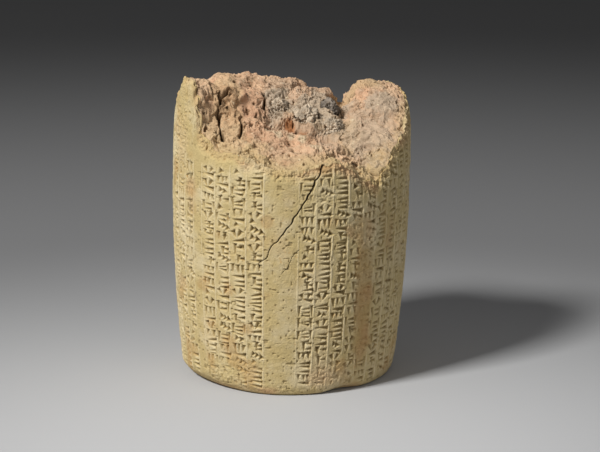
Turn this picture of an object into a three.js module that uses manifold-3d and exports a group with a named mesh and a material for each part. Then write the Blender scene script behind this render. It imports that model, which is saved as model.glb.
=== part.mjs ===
// The surviving half of a solid barrel cylinder of fired clay, which stands on its flat end.
// Millimetres, +Z up, front toward -Y. Azimuths are degrees round from the front toward +X.
// The clay was built up in stages: a cone-shaped core with grey stones in it, two layers packed
// round it, and a fine slip over the side and the end. All of them end in one rough break.
import * as THREE from 'three';
import { mergeVertices } from 'three/addons/utils/BufferGeometryUtils.js';
import Module from 'manifold-3d';

const wasm = await Module();
wasm.setup();

// Barrel
const END_RADIUS = 40.5;
const BELLY_RADIUS = 45.2;
const BELLY_HEIGHT = 76;
const LEAN = 0.018; // sideways shift of the axis toward +X for each millimetre of height

// Rounded lower edge, worn further back in front on the left and chipped in front on the right
const EDGE_ROUND = 3;
const EDGE_WEAR = { azimuth: -55, halfWidth: 50, extra: 3.4 };
const EDGE_CHIP = { azimuth: 31, halfWidth: 15, extra: 3.4 };

// Stages of the clay, from the skin inward
const SLIP = 2; // thickness of the writing slip
const END_SLIP = 2; // thickness of the slip on the flat end
const OUTER_LAYER = 12;
const SEAM = 0.3; // gap left between neighbouring stages

// Core: where its middle lies at the foot and at the break, and the mean thickness of the inner
// layer round it there
const CORE_FOOT = { x: 1.5, y: -1.5, cover: 6.5 };
const CORE_TIP = { x: 5.5, y: -7, cover: 13.6 };

// Break: heights are drops below its highest ring of clay
const BREAK_HEIGHT = 112;
const CENTRE_DROP = 2;
const ROUGHNESS = 1;
const ROUGH_SPACING = 5.5;

// Drop of the rim by azimuth, round the outside of the barrel
const RIM_DROP = [
  [-55, 5], [-51, 17.5], [-40, 21], [-30, 21], [-20, 23], [-5, 26], [0, 26.5], [10, 24], [20, 23],
  [30, 26], [40, 31], [45, 33], [52, 28], [61, 21.5], [73, 18], [85, 12], [100, 7], [120, 5], [135, 8],
  [150, 18], [165, 17], [180, 13], [200, 11], [225, 10], [250, 9], [270, 9.5], [280, 3], [288, -4.5],
  [297, -5], [302, -3],
];

// Drop half way from the centre to the rim
const MIDWAY_DROP = [
  [0, 15.5], [45, 16], [70, 12], [90, 7.5], [120, 5], [150, 11], [180, 4], [225, 2], [270, -1],
  [300, 2], [315, 8.5], [340, 14],
];

// Lumps and hollows of the break: place, reach across and in depth, and rise
const BREAK_FEATURES = [
  { x: 19, y: 8, reachX: 3.4, reachY: 13, rise: -7 }, // notch
  { x: -6, y: -18, reachX: 3.4, reachY: 3, rise: -4 }, // hollow left of the stones
  { x: 13, y: -20.5, reachX: 5, reachY: 3, rise: -3.4 }, // hollow in front of the socketed stone
  { x: 2, y: -19.5, reachX: 5, reachY: 2.6, rise: -2.5 }, // stained hollow under the right stone
  { x: 15.5, y: -7.5, reachX: 3, reachY: 2.5, rise: 1.4 }, // lump at the foot of the notch
  { x: -22, y: -16, reachX: 3, reachY: 8, rise: 1.8 }, // swelling between two fissures
  { x: -32, y: -19, reachX: 3.5, reachY: 7, rise: 2 }, // swelling beside the left fin
  { x: -26, y: 0, reachX: 6, reachY: 6, rise: 2 }, // highest clay of the left side
  { x: 31, y: 8, reachX: 8, reachY: 11, rise: 3.5 }, // right peak
  { x: 26, y: 0, reachX: 2, reachY: 2, rise: -1.6 }, // pit in the right peak
  { x: 21, y: -33, reachX: 6, reachY: 3.5, rise: -1.8 }, // flake scar low on the right
];

// Stones of the break: place from the tip of the core's middle, half sizes, and how far the
// middle lies below the clay
const BREAK_STONES = [
  { name: 'grey_stone_left', x: -10.1, y: -1.6, half: [4, 4.2, 4.8], sunk: 2.8, seed: 3 },
  { name: 'grey_stone_right', x: -0.1, y: -4, half: [5, 4.8, 5.6], sunk: 3.2, seed: 5 },
  { name: 'grey_stone_socketed', x: 9.9, y: -6, half: [3.6, 3.4, 3.8], sunk: 1.6, seed: 8 },
  { name: 'dark_stone_back', x: 8.3, y: 4, half: [4.2, 3.6, 4], sunk: 2.4, seed: 11 },
];

// Stones pressed into the side of the core
const CORE_STONES = [
  { name: 'grey_stone_low_left', azimuth: -118, height: 38, half: [5.2, 4.4, 6], seed: 14 },
  { name: 'grey_stone_low_right', azimuth: 64, height: 67, half: [4.6, 4.2, 5], seed: 17 },
];
const STONE_DETAIL = 3;
const STONE_UNEVEN = 0.13;
const STONE_LUMPS = 1.9; // how close its lumps lie

// Crack in the side: azimuth of its course and drop from the height of the break
const CRACK_COURSE = [
  [21, 14], [17.5, 20], [13.7, 25.5], [10.5, 31], [6.2, 36.8], [3.7, 40.1], [0.2, 43.9], [-4.4, 49.2],
  [-9.1, 53.6], [-11.5, 57.7], [-14.4, 60.1], [-15, 61.7],
];
const CRACK = { width: 0.75, depth: 7, outside: 1.5 };

// Fissures of the break: courses down its slope, seen from above
const FISSURES = [
  {
    width: 1.6,
    depth: 6,
    course: [[-23.6, -15], [-26.8, -18.5], [-26.8, -21.3], [-27.1, -23.6], [-25.2, -27], [-25, -29]],
  },
  { width: 1.1, depth: 5, course: [[-18, -19.5], [-18.5, -24], [-18.4, -28.5]] },
  { width: 1.4, depth: 5, course: [[-10.2, -6.5], [-10.4, -10], [-9.8, -14]] },
];
const FISSURE_OUTSIDE = 2.5; // reach of a fissure above the clay, past its lumps
const FISSURE_SLANT = new THREE.Vector3(0, 0.35, -1).normalize(); // way in, down and backward

// How far a crack or fissure has closed, and grown shallow, at the end of its course
const CLOSED_AT_END = 0.85;
const SHALLOWER_AT_END = 0.6;

// Fineness of the facets
const SIDE_SEGMENTS = 72;
const INNER_SEGMENTS = 48;
const CORE_SEGMENTS = 40;
const SKIN_EDGE_ROWS = 4; // rows round the lower edge
const CLAY_EDGE_ROWS = 2;
const SIDE_ROWS = 8;
const INNER_ROWS = 5;
const BREAK_STEPS = 5; // steps across the break of each layer
const BREAK_PASSES = 12; // passes that bring an upright surface to the break

const radians = THREE.MathUtils.degToRad;
const clayFoot = END_SLIP + SEAM; // height at which the clay stands on the end slip

// A bump of height 1 that falls to 0 at one reach from its middle
function bump(distance) {
  return distance >= 1 ? 0 : (1 - distance * distance) ** 2;
}

// Shortest turn from one azimuth to another, in degrees
function turnBetween(a, b) {
  return THREE.MathUtils.euclideanModulo(a - b + 180, 360) - 180;
}

// Value at an azimuth, eased between the listed azimuths and closed round the circle
function aroundCircle(stations, azimuth) {
  const start = stations[0][0];
  const at = start + THREE.MathUtils.euclideanModulo(azimuth - start, 360);
  const closed = [...stations, [start + 360, stations[0][1]]];
  const after = closed.findIndex(([station]) => station > at);
  const [fromAzimuth, from] = closed[after - 1];
  const [toAzimuth, to] = closed[after];
  const share = (at - fromAzimuth) / (toAzimuth - fromAzimuth);
  return THREE.MathUtils.lerp(from, to, THREE.MathUtils.smoothstep(share, 0, 1));
}

// Repeatable number from 0 to 1 for a lattice point
function latticeValue(i, j, k) {
  const wave = Math.sin(i * 127.1 + j * 311.7 + k * 74.7) * 43758.5453;
  return wave - Math.floor(wave);
}

// Smooth unevenness from -1 to 1
function unevenness(x, y, z) {
  const cell = [x, y, z].map(Math.floor);
  const ease = [x, y, z].map((value, axis) => THREE.MathUtils.smoothstep(value - cell[axis], 0, 1));
  let sum = 0;
  for (let corner = 0; corner < 8; corner++) {
    const step = [corner & 1, (corner >> 1) & 1, corner >> 2];
    const weight = step.reduce((product, s, axis) => product * (s ? ease[axis] : 1 - ease[axis]), 1);
    sum += weight * latticeValue(cell[0] + step[0], cell[1] + step[1], cell[2] + step[2]);
  }
  return 2 * sum - 1;
}

// Radius of the barrel at a height, before its lower edge is rounded
function barrelRadius(z) {
  const share = (BELLY_HEIGHT - z) / BELLY_HEIGHT;
  return BELLY_RADIUS - (BELLY_RADIUS - END_RADIUS) * share * share;
}

// Size of the rounding of the lower edge at an azimuth
function edgeRounding(azimuth) {
  const worn = (mark) => mark.extra * bump(Math.abs(turnBetween(azimuth, mark.azimuth)) / mark.halfWidth);
  return EDGE_ROUND + worn(EDGE_WEAR) + worn(EDGE_CHIP);
}

function axisShift(z) {
  return LEAN * (z - BELLY_HEIGHT);
}

function pointAround(x, y, radius, azimuth) {
  const angle = radians(azimuth);
  return new THREE.Vector2(x + radius * Math.sin(angle), y - radius * Math.cos(angle));
}

// Surface a given depth inside the skin, kept clear of what lies just outside that depth. Its
// rounding shrinks by the clearance, and below that height it draws in further as a small chamfer.
function barrelSurface(depth, clearance = 0) {
  return (azimuth, z) => {
    const round = edgeRounding(azimuth);
    const arc = round - clearance;
    const below = THREE.MathUtils.clamp(round - z, 0, arc);
    const drawnIn = arc - Math.sqrt(arc * arc - below * below);
    const chamfer = Math.max(0, clearance - z);
    const radius = barrelRadius(z) - depth - clearance - drawnIn - chamfer;
    return pointAround(axisShift(z), 0, radius, azimuth);
  };
}

// Radius of the inner layer at a height, where the outer layer lies against it
function innerLayerRadius(z) {
  return barrelRadius(z) - SLIP - OUTER_LAYER;
}

function innerLayerSurface(clearance) {
  return (azimuth, z) => pointAround(axisShift(z), 0, innerLayerRadius(z) + clearance, azimuth);
}

// Middle of the core at a height
function coreCentre(z) {
  const share = z / BREAK_HEIGHT;
  const x = THREE.MathUtils.lerp(CORE_FOOT.x, CORE_TIP.x, share);
  const y = THREE.MathUtils.lerp(CORE_FOOT.y, CORE_TIP.y, share);
  return new THREE.Vector3(x, y, z);
}

// Surface of the cone-shaped core
function coreSurface(clearance) {
  const foot = innerLayerRadius(0) - CORE_FOOT.cover;
  const tip = innerLayerRadius(BREAK_HEIGHT) - CORE_TIP.cover;
  return (azimuth, z) => {
    const { x, y } = coreCentre(z);
    const radius = THREE.MathUtils.lerp(foot, tip, z / BREAK_HEIGHT);
    return pointAround(x, y, radius + clearance, azimuth);
  };
}

// Height of the break over a place, before its lumps and roughness: a curve from the centre
// through the midway drop to the rim drop
function breakSlope(x, y) {
  const outward = Math.hypot(x, y) / BELLY_RADIUS;
  const azimuth = THREE.MathUtils.radToDeg(Math.atan2(x, -y));
  const centre = CENTRE_DROP * (1 - outward) * (1 - 2 * outward);
  const midway = aroundCircle(MIDWAY_DROP, azimuth) * 4 * outward * (1 - outward);
  const rim = aroundCircle(RIM_DROP, azimuth) * outward * (2 * outward - 1);
  return BREAK_HEIGHT - centre - midway - rim;
}

function breakHeight(x, y) {
  let height = breakSlope(x, y);
  for (const { x: midX, y: midY, reachX, reachY, rise } of BREAK_FEATURES) {
    height += rise * bump(Math.hypot((x - midX) / reachX, (y - midY) / reachY) / 2);
  }
  const coarse = unevenness(x / ROUGH_SPACING, y / ROUGH_SPACING, 0.5);
  const fine = unevenness((x / ROUGH_SPACING) * 2.1, (y / ROUGH_SPACING) * 2.1, 4.5);
  return height + ROUGHNESS * (coarse + 0.5 * fine);
}

// Point where an upright surface meets the break
function meetBreak(surface, azimuth) {
  let z = BREAK_HEIGHT;
  for (let pass = 0; pass < BREAK_PASSES; pass++) {
    const { x, y } = surface(azimuth, z);
    z = breakHeight(x, y);
  }
  const { x, y } = surface(azimuth, z);
  return new THREE.Vector3(x, y, z);
}

function pointOn(surface, azimuth, z) {
  const { x, y } = surface(azimuth, z);
  return new THREE.Vector3(x, y, z);
}

// Points up a surface from its foot to the break, the first of them round the lower edge
function pointsUp(surface, azimuth, bottom, edgeRows, rows) {
  const round = edgeRounding(azimuth);
  const edgeTop = edgeRows ? Math.max(round, bottom) : bottom;
  const start = Math.acos(Math.max(0, 1 - bottom / round));
  const points = [];
  for (let row = 0; row < edgeRows; row++) {
    const angle = THREE.MathUtils.lerp(start, Math.PI / 2, row / edgeRows);
    const z = Math.max(bottom, round * (1 - Math.cos(angle)));
    points.push(pointOn(surface, azimuth, z));
  }
  const top = meetBreak(surface, azimuth);
  for (let row = 0; row < rows; row++) {
    points.push(pointOn(surface, azimuth, THREE.MathUtils.lerp(edgeTop, top.z, row / rows)));
  }
  points.push(top);
  return points;
}

// Points across the break between two of its points, both left out
function pointsAcross(from, to, steps) {
  const points = [];
  for (let step = 1; step < steps; step++) {
    const point = new THREE.Vector3().lerpVectors(from, to, step / steps);
    point.z = breakHeight(point.x, point.y);
    points.push(point);
  }
  return points;
}

// Closed skin made of one section for each azimuth, each with as many points
function skinFromSections(sections, closed) {
  const length = sections[0].length;
  const positions = sections.flat().flatMap((point) => point.toArray());
  const triangles = [];
  sections.forEach((section, side) => {
    const next = (side + 1) % sections.length;
    for (let row = 0; row < (closed ? length : length - 1); row++) {
      const above = (row + 1) % length;
      const [a, b] = [side * length + row, next * length + row];
      const [c, d] = [next * length + above, side * length + above];
      triangles.push([a, b, c], [a, c, d]);
    }
  });
  const geometry = new THREE.BufferGeometry();
  geometry.setAttribute('position', new THREE.Float32BufferAttribute(positions, 3));
  geometry.setIndex(triangles.flat());
  return geometry;
}

// Closed solid for joining and cutting, without the slivers where points fall together
function solidFrom(geometry) {
  const bare = geometry.clone();
  bare.deleteAttribute('normal');
  bare.deleteAttribute('uv');
  const merged = mergeVertices(bare, 1e-4);
  const kept = [];
  for (let corner = 0; corner < merged.index.count; corner += 3) {
    const [a, b, c] = [0, 1, 2].map((step) => merged.index.getX(corner + step));
    if (a !== b && b !== c && c !== a) kept.push(a, b, c);
  }
  const vertProperties = new Float32Array(merged.attributes.position.array);
  return new wasm.Manifold(new wasm.Mesh({ numProp: 3, vertProperties, triVerts: new Uint32Array(kept) }));
}

function geometryFrom(solid) {
  const mesh = solid.getMesh();
  const geometry = new THREE.BufferGeometry();
  geometry.setAttribute('position', new THREE.BufferAttribute(mesh.vertProperties, 3));
  geometry.setIndex(new THREE.BufferAttribute(mesh.triVerts, 1));
  const faceted = geometry.toNonIndexed();
  faceted.computeVertexNormals();
  return faceted;
}

function azimuths(segments) {
  return Array.from({ length: segments }, (_, side) => (360 * side) / segments);
}

// A layer between two upright surfaces, from its foot up to the break
function layerSolid({ outer, inner, bottom, segments, outerRows, innerRows, acrossSteps }) {
  const sections = azimuths(segments).map((azimuth) => {
    const outside = pointsUp(outer, azimuth, bottom, ...outerRows);
    const inside = pointsUp(inner, azimuth, bottom, ...innerRows);
    const broken = pointsAcross(outside.at(-1), inside.at(-1), acrossSteps);
    return [...outside, ...broken, ...inside.reverse()];
  });
  return solidFrom(skinFromSections(sections, true));
}

// The core: a closed cone whose sections begin and end on its own middle line
function coreSolid() {
  const foot = coreCentre(clayFoot);
  const tip = coreCentre(BREAK_HEIGHT);
  tip.z = breakHeight(tip.x, tip.y);
  const surface = coreSurface(-SEAM / 2);
  const sections = azimuths(CORE_SEGMENTS).map((azimuth) => {
    const outside = pointsUp(surface, azimuth, clayFoot, 0, INNER_ROWS);
    return [foot, ...outside, ...pointsAcross(outside.at(-1), tip, BREAK_STEPS), tip];
  });
  return solidFrom(skinFromSections(sections, false));
}

// The slip of the flat end: a disc that fills the mouth of the side's slip
function endSlipSolid() {
  const surface = barrelSurface(SLIP, SEAM);
  const middle = axisShift(0);
  const sections = azimuths(SIDE_SEGMENTS).map((azimuth) => {
    const round = edgeRounding(azimuth);
    const arcHeights = [1, 2].map((row) => round - (round - SEAM) * Math.cos((row * Math.PI) / 8));
    const heights = [0, SEAM, ...arcHeights, END_SLIP].map((z) => Math.min(z, END_SLIP));
    return [
      new THREE.Vector3(middle, 0, 0),
      ...heights.map((z) => pointOn(surface, azimuth, z)),
      new THREE.Vector3(middle, 0, END_SLIP),
    ];
  });
  return solidFrom(skinFromSections(sections, false));
}

// An uneven pebble round a place, or its socket when it is swollen
function stoneSolid({ half, seed, place }, swell) {
  const geometry = new THREE.IcosahedronGeometry(1, STONE_DETAIL);
  const position = geometry.attributes.position;
  const point = new THREE.Vector3();
  for (let index = 0; index < position.count; index++) {
    point.fromBufferAttribute(position, index);
    const lumps = point.clone().multiplyScalar(STONE_LUMPS);
    const uneven = 1 + STONE_UNEVEN * unevenness(lumps.x + seed, lumps.y, lumps.z);
    const [x, y, z] = point.toArray().map((value, axis) => value * (half[axis] * uneven + swell));
    position.setXYZ(index, place.x + x, place.y + y, place.z + z);
  }
  return solidFrom(geometry);
}

// A thin wedge along a course: wide just outside the surface, closing toward its depth
function wedgeSolid(places, inward, { width, depth, outside }) {
  const sections = places.map((place, index) => {
    const before = places[Math.max(0, index - 1)];
    const after = places[Math.min(places.length - 1, index + 1)];
    const into = inward(place);
    const side = new THREE.Vector3().subVectors(after, before).cross(into).normalize();
    const share = index / (places.length - 1);
    const half = side.multiplyScalar((width / 2) * (1 - CLOSED_AT_END * share * share));
    const mouth = place.clone().addScaledVector(into, -outside);
    const tip = place.clone().addScaledVector(into, depth * (1 - SHALLOWER_AT_END * share));
    return [mouth.clone().add(half), mouth.clone().sub(half), tip];
  });
  return solidFrom(prismFromSections(sections));
}

// Closed skin along triangular sections, with a flat cap at each end
function prismFromSections(sections) {
  const positions = sections.flat().flatMap((point) => point.toArray());
  const last = (sections.length - 1) * 3;
  const triangles = [[0, 2, 1], [last, last + 1, last + 2]];
  for (let from = 0; from < last; from += 3) {
    for (let corner = 0; corner < 3; corner++) {
      const next = (corner + 1) % 3;
      triangles.push([from + corner, from + next, from + 3 + next]);
      triangles.push([from + corner, from + 3 + next, from + 3 + corner]);
    }
  }
  const geometry = new THREE.BufferGeometry();
  geometry.setAttribute('position', new THREE.Float32BufferAttribute(positions, 3));
  geometry.setIndex(triangles.flat());
  return geometry;
}

function crackSolid() {
  const skin = barrelSurface(0);
  const places = CRACK_COURSE.map(([azimuth, drop]) => pointOn(skin, azimuth, BREAK_HEIGHT - drop));
  const inward = (place) => new THREE.Vector3(axisShift(place.z) - place.x, -place.y, 0).normalize();
  return wedgeSolid(places, inward, CRACK);
}

function fissureSolid({ width, depth, course }) {
  const places = course.map(([x, y]) => new THREE.Vector3(x, y, breakHeight(x, y)));
  return wedgeSolid(places, () => FISSURE_SLANT, { width, depth, outside: FISSURE_OUTSIDE });
}

function breakStonePlace(stone) {
  const [x, y] = [CORE_TIP.x + stone.x, CORE_TIP.y + stone.y];
  return new THREE.Vector3(x, y, breakHeight(x, y) - stone.sunk);
}

function coreStonePlace(stone) {
  return pointOn(coreSurface(0), stone.azimuth, stone.height);
}

function partNamed(name, solid, colour, roughness) {
  const material = new THREE.MeshStandardMaterial({ color: colour, roughness, metalness: 0 });
  const mesh = new THREE.Mesh(geometryFrom(solid), material);
  mesh.name = name;
  return mesh;
}

function cutFrom(solid, tools) {
  return tools.reduce((rest, tool) => rest.subtract(tool), solid);
}

const stones = [
  ...BREAK_STONES.map((stone) => ({ ...stone, place: breakStonePlace(stone) })),
  ...CORE_STONES.map((stone) => ({ ...stone, place: coreStonePlace(stone) })),
];
const sockets = stones.map((stone) => stoneSolid(stone, SEAM));
const crack = crackSolid();
const fissures = FISSURES.map(fissureSolid);

const writingSlip = layerSolid({
  outer: barrelSurface(0),
  inner: barrelSurface(SLIP),
  bottom: 0,
  segments: SIDE_SEGMENTS,
  outerRows: [SKIN_EDGE_ROWS, SIDE_ROWS],
  innerRows: [SKIN_EDGE_ROWS, SIDE_ROWS],
  acrossSteps: 1,
});

const outerLayer = layerSolid({
  outer: barrelSurface(SLIP, SEAM),
  inner: innerLayerSurface(SEAM / 2),
  bottom: clayFoot,
  segments: SIDE_SEGMENTS,
  outerRows: [CLAY_EDGE_ROWS, SIDE_ROWS],
  innerRows: [0, INNER_ROWS],
  acrossSteps: BREAK_STEPS,
});

const innerLayer = layerSolid({
  outer: innerLayerSurface(-SEAM / 2),
  inner: coreSurface(SEAM / 2),
  bottom: clayFoot,
  segments: INNER_SEGMENTS,
  outerRows: [0, INNER_ROWS],
  innerRows: [0, INNER_ROWS],
  acrossSteps: BREAK_STEPS,
});

const cylinder = new THREE.Group();
cylinder.add(
  partNamed('core_cone', cutFrom(coreSolid(), sockets), 0xa88a76, 0.95),
  partNamed('inner_clay_layer', cutFrom(innerLayer, [...sockets, ...fissures]), 0xb08f78, 0.95),
  partNamed('outer_clay_layer', cutFrom(outerLayer, [crack, ...sockets, ...fissures]), 0xb8967c, 0.95),
  partNamed('writing_slip', writingSlip.subtract(crack), 0xc4b486, 0.85),
  partNamed('end_slip', endSlipSolid(), 0xbfae82, 0.85),
);
stones.forEach((stone) => {
  const colour = stone.name.startsWith('dark') ? 0x857a70 : 0xa39b8f;
  cylinder.add(partNamed(stone.name, stoneSolid(stone, 0), colour, 0.9));
});

export default cylinder;
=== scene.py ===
"""The surviving half of a solid clay cylinder, written all round and broken across the top.

The side carries lines of pressed wedges in a fine slip, made from a seeded draw, so they spell
nothing. The break shows the clay of each stage, with stones in its middle. Shapes are worked out
in millimetres and given to Blender in metres.
"""

import math

import bpy
import numpy as np
from bpy.props import FloatProperty, FloatVectorProperty, IntProperty, PointerProperty
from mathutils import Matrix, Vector


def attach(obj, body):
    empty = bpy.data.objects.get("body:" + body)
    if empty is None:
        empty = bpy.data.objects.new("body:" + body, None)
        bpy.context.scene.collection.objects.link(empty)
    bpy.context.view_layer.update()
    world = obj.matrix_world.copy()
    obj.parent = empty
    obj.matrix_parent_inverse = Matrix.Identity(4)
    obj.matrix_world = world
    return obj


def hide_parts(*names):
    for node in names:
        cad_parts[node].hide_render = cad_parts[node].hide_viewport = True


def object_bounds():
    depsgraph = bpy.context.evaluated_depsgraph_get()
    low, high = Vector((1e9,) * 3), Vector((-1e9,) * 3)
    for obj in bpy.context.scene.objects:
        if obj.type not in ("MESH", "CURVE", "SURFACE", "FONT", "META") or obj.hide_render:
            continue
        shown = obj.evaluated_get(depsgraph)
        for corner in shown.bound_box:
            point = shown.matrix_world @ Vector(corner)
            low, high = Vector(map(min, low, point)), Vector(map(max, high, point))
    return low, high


bl_info = {
    "name": "Cuneiform Cylinder",
    "version": (1, 0, 0),
    "blender": (4, 5, 0),
    "location": "View3D > Sidebar > Cylinder",
    "description": "Builds a broken clay cylinder with pressed signs round a packed frame",
    "category": "Object",
}

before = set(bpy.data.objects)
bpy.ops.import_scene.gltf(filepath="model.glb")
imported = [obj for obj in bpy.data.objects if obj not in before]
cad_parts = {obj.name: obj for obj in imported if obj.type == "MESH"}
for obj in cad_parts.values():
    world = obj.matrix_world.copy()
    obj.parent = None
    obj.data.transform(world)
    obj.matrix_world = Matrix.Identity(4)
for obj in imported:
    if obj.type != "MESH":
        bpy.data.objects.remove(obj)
CAD_BOX = [list(corner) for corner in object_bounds()]

MM = 0.001
BODY = "root"

# Barrel, in millimetres and degrees, as in the part's source
END_RADIUS = 40.5
BELLY_RADIUS = 45.2
BELLY_HEIGHT = 76
LEAN = 0.018
EDGE_ROUND = 3
EDGE_WEAR = (-55, 50, 3.4)  # azimuth, half width, extra rounding
EDGE_CHIP = (31, 15, 3.4)
SLIP = 2
END_SLIP = 2
OUTER_LAYER = 12
SEAM = 0.3
CLAY_FOOT = END_SLIP + SEAM
CORE_FOOT = (1.5, -1.5, 6.5)  # place of the core's middle, and cover round it
CORE_TIP = (5.5, -7, 13.6)

# Break, as in the part's source
BREAK_HEIGHT = 112
CENTRE_DROP = 2
ROUGHNESS = 1
ROUGH_SPACING = 5.5
FINER = 2.1  # how many times finer the second roughness is
FEATURE_REACH = 2  # how far a feature spreads, in its reaches
SCATTER = (127.1, 311.7, 74.7)  # numbers that scatter the unevenness
SCATTER_SCALE = 43758.5453
RIM_DROP = [
    (-55, 5), (-51, 17.5), (-40, 21), (-30, 21), (-20, 23), (-5, 26), (0, 26.5), (10, 24), (20, 23),
    (30, 26), (40, 31), (45, 33), (52, 28), (61, 21.5), (73, 18), (85, 12), (100, 7), (120, 5),
    (135, 8), (150, 18), (165, 17), (180, 13), (200, 11), (225, 10), (250, 9), (270, 9.5), (280, 3),
    (288, -4.5), (297, -5), (302, -3),
]
MIDWAY_DROP = [
    (0, 15.5), (45, 16), (70, 12), (90, 7.5), (120, 5), (150, 11), (180, 4), (225, 2), (270, -1),
    (300, 2), (315, 8.5), (340, 14),
]

# Lumps and hollows of the break: x, y, reach across, reach in depth, rise
BREAK_FEATURES = [
    (19, 8, 3.4, 13, -7),  # notch
    (-6, -18, 3.4, 3, -4),  # hollow left of the stones
    (13, -20.5, 5, 3, -3.4),  # hollow in front of the socketed stone
    (2, -19.5, 5, 2.6, -2.5),  # stained hollow under the right stone
    (15.5, -7.5, 3, 2.5, 1.4),  # lump at the foot of the notch
    (-22, -16, 3, 8, 1.8),  # swelling between two fissures
    (-32, -19, 3.5, 7, 2),  # swelling beside the left fin
    (-26, 0, 6, 6, 2),  # highest clay of the left side
    (31, 8, 8, 11, 3.5),  # right peak
    (26, 0, 2, 2, -1.6),  # pit in the right peak
    (21, -33, 6, 3.5, -1.8),  # flake scar low on the right
]

# Deeper parts of the three hollows, from left to right, given in the same way
DEEP_HOLLOWS = [
    (-6.5, -17, 3.6, 2.4, -3.2),
    (2.5, -18, 4.2, 2, -2.6),
    (13, -19.5, 4.5, 2.2, -2.2),
]

# Stones of the break: name, slot, place from the core's tip, half sizes, sunk, seed
BREAK_STONES = [
    ("grey_stone_left", "grey_stone", (-10.1, -1.6), (4, 4.2, 4.8), 2.8, 3),
    ("grey_stone_right", "grey_stone", (-0.1, -4), (5, 4.8, 5.6), 3.2, 5),
    ("grey_stone_socketed", "grey_stone", (9.9, -6), (3.6, 3.4, 3.8), 1.6, 8),
    ("dark_stone_back", "dark_stone", (8.3, 4), (4.2, 3.6, 4), 2.4, 11),
]
HIDDEN_STONES = ("grey_stone_low_left", "grey_stone_low_right")
STONE_UNEVEN = 0.13
STONE_LUMPS = 1.9

# Crack in the side and its branch: azimuth and drop below BREAK_HEIGHT
CRACK_COURSE = [
    (21, 14), (17.5, 20), (13.7, 25.5), (10.5, 31), (6.2, 36.8), (3.7, 40.1), (0.2, 43.9),
    (-4.4, 49.2), (-9.1, 53.6), (-11.5, 57.7), (-14.4, 60.1), (-15, 61.7),
]
CRACK_WIDTH = 0.6
HAIRLINE_COURSE = [(4, 54.5), (0.5, 58), (-1.2, 62), (-5.4, 65.2)]
HAIRLINE_WIDTH = 0.16

# Fissures of the break: width, depth and course seen from above
FISSURES = [
    (1.1, 6, [(-23.6, -15), (-26.8, -18.5), (-26.8, -21.3), (-27.1, -23.6), (-25.2, -27), (-25, -29)]),
    (0.75, 5, [(-18, -19.5), (-18.5, -24), (-18.4, -28.5)]),
    (1.0, 5, [(-10.2, -6.5), (-10.4, -10), (-9.8, -14)]),
    (0.8, 3, [(-13.4, -16), (-13, -19.6)]),
]
FISSURE_SLANT = np.array([0, 0.33, -0.94])  # way in, down and backward
FISSURE_STRAY = (1.6, 0.8, (8, 9))  # spacing, reach and shifts
FISSURE_EDGE = 1.25  # where a fissure and the painted shade round it end, in half widths
# How far the painted shade of a fissure reaches, in half widths
FISSURE_SHADE = 1.6
FISSURE_CLOSING = 0.6  # how much shallower the far end is

# Crumbled clay of the break; a noise is given by its spacing, height and shift, and spots by their
# spacing and shift, the noise at which they begin and the softness of their edge
SLOPE_STEP = 0.4
LUMPS = ((3.4, 0.9, 0), (1.6, 0.45, 2))
CRUMBS = ((1.9, 0.5, 4), (0.95, 0.45, 6), (0.5, 0.4, 8))
CRUMB_FOLD = 3.2
CRUMBS_EVERYWHERE = 0.35
CRUMBS_IN_PLACES = 0.5  # what the rough places have more than that
ROUGH_PLACES = (7, 2, 0, 0.5)
CHINK_DEPTH = 1.3
CHINK_LINES = (5.2, 1, 0.07)  # spacing, shift and half width
CHINK_PLACES = (7, 7, 0.24, 0.4)
PORE_DEPTH = 1.3
PORES = (1.3, 5, 0.55, 0.2)
# Painted shade in the low places among the crumbs and in chinks and pores: its strength among the
# crumbs, and the depth at which it is full
CRUMB_SHADE = 0.8
SHADE_DEPTH = 1.6
HOLLOW_REACH = 1.6
STIRRED = ((3.2, 1), (1.5, 0.5))  # spacing and reach
STIRRED_WAYS = (11, 12, 13)
STIRRED_LEVEL = 0.25
STIRRED_STEEP = 0.8  # what a steep face has more than a level one
STEEP = 0.4
CALM_FACE = (31, -13, 15, 26)  # middle and reaches of the smoother face on the right
CALM_SHARE = 0.55
SOCKET_SWELL = 1.01
SOCKET_GAP = 0.15
# Painted shade in the gap round each stone: its strength, and its reach in shares of the socket
SOCKET_SHADE = 0.7
SOCKET_SHADE_REACH = 0.1
CREAM_EDGE = (5, 70, 30)  # azimuth, half width and fade of the cream edge in front
CREAM_START = 0.7  # share of the way out at which it begins
CREAM_SOFTNESS = 0.2
CREAM_RAGGED = ((6, 0.1, 2),)
CREAM_PLACES = (11, 3, 0, 0.5)

# Lines of signs: a few left of the blank strip, up to a narrow plain band, and the rest all the way
# round to that band; a pair of azimuths gives the strip's and the band's edges
BLANK_STRIP = (-13, 3.6)
PLAIN_BAND = (-53.9, -47.5)
LEFT_LINES = 4
RIGHT_LINES = 37
SIGN_TOP = [
    (-62, 86), (-52, 84), (-40, 85), (-25, 86), (-10, 85), (3.5, 85), (13, 87), (23, 86), (34, 83),
    (43, 79), (50, 83), (59, 89), (70, 95), (88, 101), (120, 104), (150, 91), (165, 92), (180, 96),
    (200, 98), (225, 99), (250, 100), (270, 99), (283, 104), (293, 106),
]
SIGN_FOOT = 5
SIGN_RISE = 1.5  # how far the signs begin above SIGN_TOP
RULE_FOOT = 2
RULE_RISE = 2  # how far the ruled lines end above SIGN_TOP
LINE_MARGIN = 0.35  # between a ruled line and the signs
PLACE_JITTER = 0.09
TURN_JITTER = 0.09
SIZE_JITTER = (0.8, 1.1)
SIGN_GAP = (-0.1, 0.25)

# Worn places of the side: azimuth, height, half width in degrees, half height, share worn
WORN_PLACES = [
    (39.5, 35, 4.5, 24, 0.85),
    (-66, 101, 8, 16, 0.7),
    (54, 64, 4, 12, 0.5),
    (-33, 8, 12, 7, 0.7),
    (24, 6, 12, 6, 0.7),
    (150, 40, 14, 16, 0.6),
    (238, 66, 10, 18, 0.55),
]

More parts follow.
